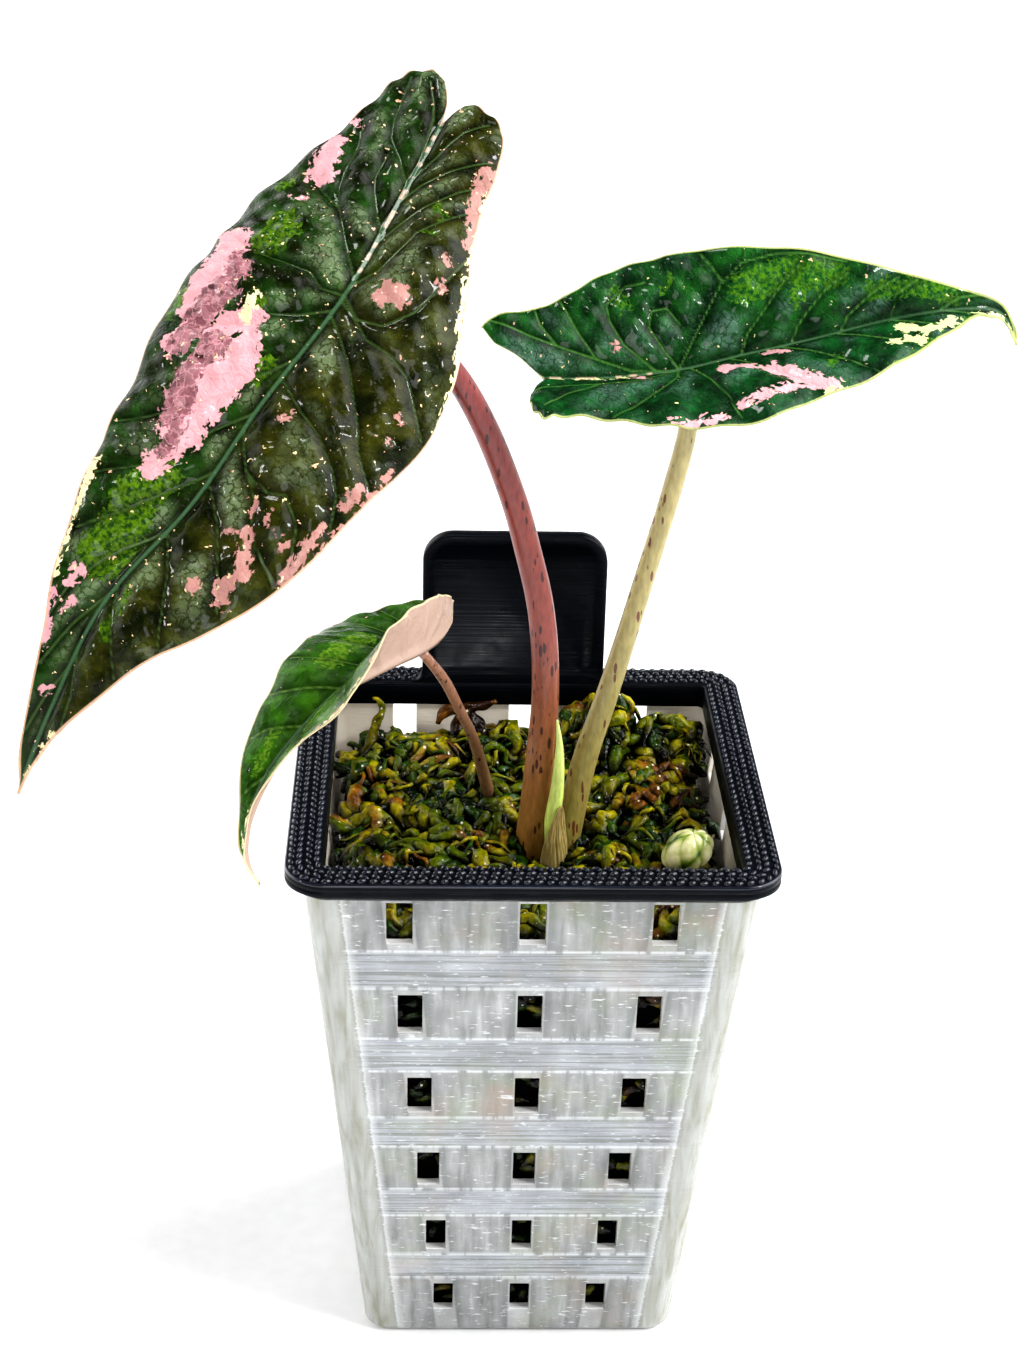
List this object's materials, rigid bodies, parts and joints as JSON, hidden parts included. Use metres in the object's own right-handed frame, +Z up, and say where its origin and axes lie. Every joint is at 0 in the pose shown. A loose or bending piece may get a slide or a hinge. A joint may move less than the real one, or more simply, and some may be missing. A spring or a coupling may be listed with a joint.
{
  "type": "potted variegated alocasia plant",
  "caption": "Young aroid house plant with glossy quilted arrow-shaped leaves marked in pink and cream, in moss in a tapered square net pot with a collar and label tab.",
  "frame": {"origin": "middle of the pot's flat foot, on the surface it stands on", "axes": "+Z up; the pot's front is -Y and the label tab stands at the +Y side"},
  "size_m": [0.1695, 0.1003, 0.231],
  "materials": {
    "clear_print": "cloudy clear print with fine layer lines",
    "dark_print": "near-black blue, glossy, with a fine bumped top",
    "wet_moss": "wet and glossy",
    "crown_tissue": "rough corky skin",
    "dry_scale": "thin, dry and brown",
    "young_leaf": "smooth, satin",
    "red_petiole": "satin, dark red with maroon flecks",
    "pale_petiole": "satin, pale green with red-brown flecks",
    "brown_petiole": "satin, brown with dark flecks",
    "variegated_blade": "glossy, olive green with pink and cream patches",
    "dark_blade": "glossy, dark green with pink and cream patches",
    "young_blade": "silky, yellow-green above and pink-cream under"
  },
  "bodies": {
    "root": {"pot": "clear_print", "collar": "dark_print", "moss": "wet_moss", "crown": "crown_tissue", "scale_leaf": "dry_scale", "rolled_new_leaf": "young_leaf", "petiole_large": "red_petiole", "petiole_right": "pale_petiole", "petiole_small": "brown_petiole", "leaf_blade_large": "variegated_blade", "leaf_blade_right": "dark_blade", "leaf_blade_small": "young_blade"}
  },
  "joints": []
}
